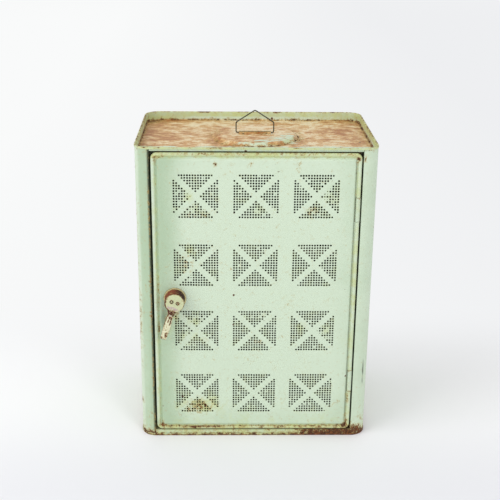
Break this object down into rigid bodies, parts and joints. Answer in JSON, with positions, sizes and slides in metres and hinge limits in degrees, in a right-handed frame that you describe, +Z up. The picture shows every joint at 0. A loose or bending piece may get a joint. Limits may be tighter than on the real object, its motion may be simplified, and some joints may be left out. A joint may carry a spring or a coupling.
{
  "type": "pie safe",
  "caption": "Small table-top pie safe of sheet metal, with a pierced hinged door, a lever latch, riveted inner shelves and a wire bail on its recessed top.",
  "frame": {"origin": "on the surface that the safe stands on, under the middle of the whole object's box", "axes": "+Z up; the door faces -Y; +X is to the right of someone who faces the door, where the hinge is"},
  "size_m": [0.36, 0.2696, 0.5041],
  "materials": {
    "green_paint": "old pale green gloss paint over steel, with rust at edges and folds",
    "worn_top": "green paint worn through to streaky brown rust",
    "rusty_green": "thin green paint with rust streaks",
    "rusty_steel": "steel with a dull brown rust skin",
    "dark_wire": "darkened drawn wire",
    "plain_steel": "dull bare steel"
  },
  "bodies": {
    "case": {"wall_wrap": "green_paint", "top_pan": "worn_top", "bottom_pan": "rusty_steel", "top_rail": "green_paint", "bottom_rail": "green_paint", "upper_hinge_strap": "green_paint", "upper_hinge_top_rivet": "plain_steel", "upper_hinge_bottom_rivet": "plain_steel", "lower_hinge_strap": "green_paint", "lower_hinge_top_rivet": "plain_steel", "lower_hinge_bottom_rivet": "plain_steel", "lower_shelf": "green_paint", "lower_left_ledge": "green_paint", "lower_right_ledge": "green_paint", "lower_left_front_shelf_rivet": "plain_steel", "lower_left_rear_shelf_rivet": "plain_steel", "lower_right_front_shelf_rivet": "plain_steel", "lower_right_rear_shelf_rivet": "plain_steel", "upper_shelf": "green_paint", "upper_left_ledge": "green_paint", "upper_right_ledge": "green_paint", "upper_left_front_shelf_rivet": "plain_steel", "upper_left_rear_shelf_rivet": "plain_steel", "upper_right_front_shelf_rivet": "plain_steel", "upper_right_rear_shelf_rivet": "plain_steel", "bail_strap": "rusty_steel", "left_bail_rivet": "rusty_steel", "right_bail_rivet": "rusty_steel"},
    "door": {"door_skin": "green_paint", "hinge_rod": "plain_steel", "latch_rosette": "rusty_green", "latch_backing_washer": "plain_steel"},
    "latch": {"latch_lever": "rusty_green", "latch_drum": "rusty_steel", "left_head_rivet": "rusty_green", "right_head_rivet": "rusty_green", "neck_rivet": "rusty_steel", "latch_spindle": "plain_steel", "latch_spacer": "plain_steel", "latch_cam": "plain_steel", "cam_nut": "plain_steel"},
    "bail": {"bail_wire": "dark_wire"}
  },
  "joints": [
    {"name": "door_hinge", "type": "hinge", "parent": "case", "child": "door", "pos_m": [0.1506, -0.1101, 0.2399], "axis": [0, 0, 1], "range_deg": [0, 110]},
    {"name": "latch_turn", "type": "hinge", "parent": "door", "child": "latch", "pos_m": [-0.1225, -0.1123, 0.2399], "axis": [0, 1, 0], "range_deg": [-17, 73]},
    {"name": "bail_swing", "type": "hinge", "parent": "case", "child": "bail", "pos_m": [0, 0.0157, 0.46845], "axis": [1, 0, 0], "range_deg": [-88, 88]}
  ]
}
